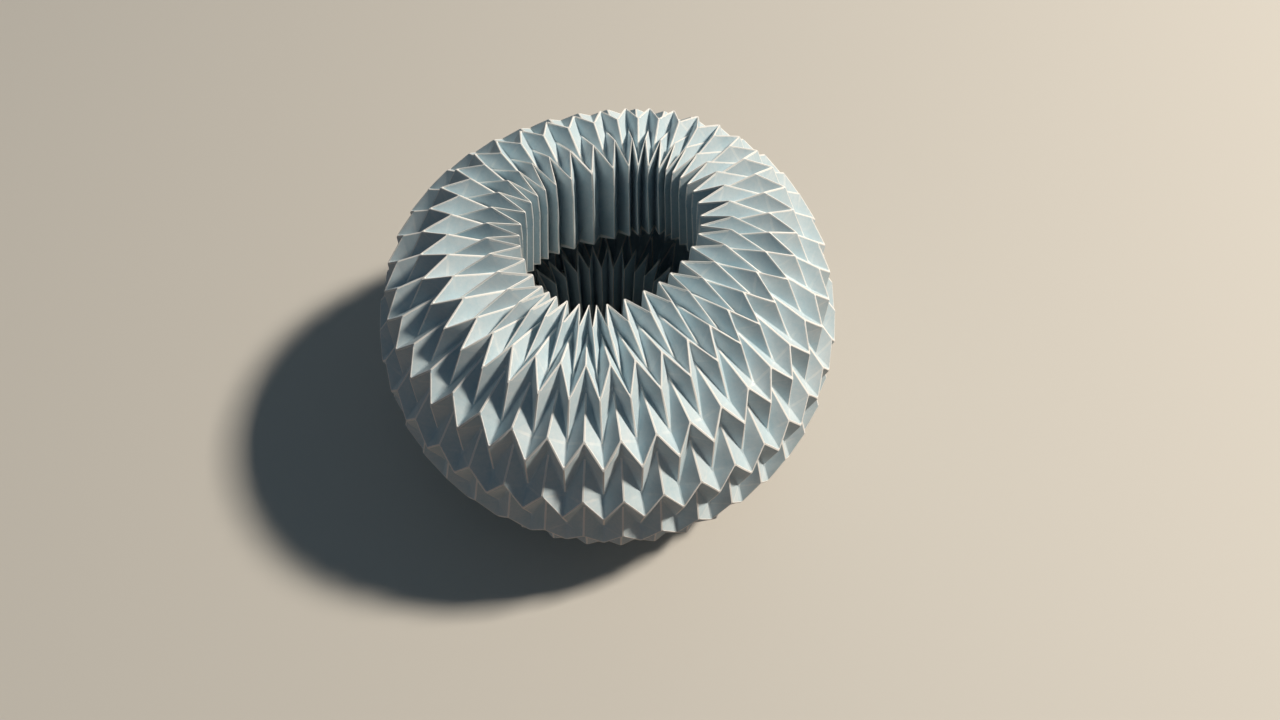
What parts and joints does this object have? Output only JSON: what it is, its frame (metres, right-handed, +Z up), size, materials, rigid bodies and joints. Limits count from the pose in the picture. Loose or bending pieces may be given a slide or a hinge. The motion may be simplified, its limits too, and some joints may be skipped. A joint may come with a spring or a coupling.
{
  "type": "origami magic ball",
  "caption": "Hollow ball folded from one pleated and zigzag-creased paper sheet, with a round hole and an inner collar at top and bottom.",
  "frame": {"origin": "on the ball's axis, at the height of the surface it stands on", "axes": "+Z up along the axis through both holes; all sides are alike"},
  "size_m": [0.1528, 0.1528, 0.0975],
  "materials": {
    "blue_paper": "matt pale blue drawing paper, worn nearly white along the folds"
  },
  "bodies": {
    "root": {"folded_sheet": "blue_paper"}
  },
  "joints": []
}
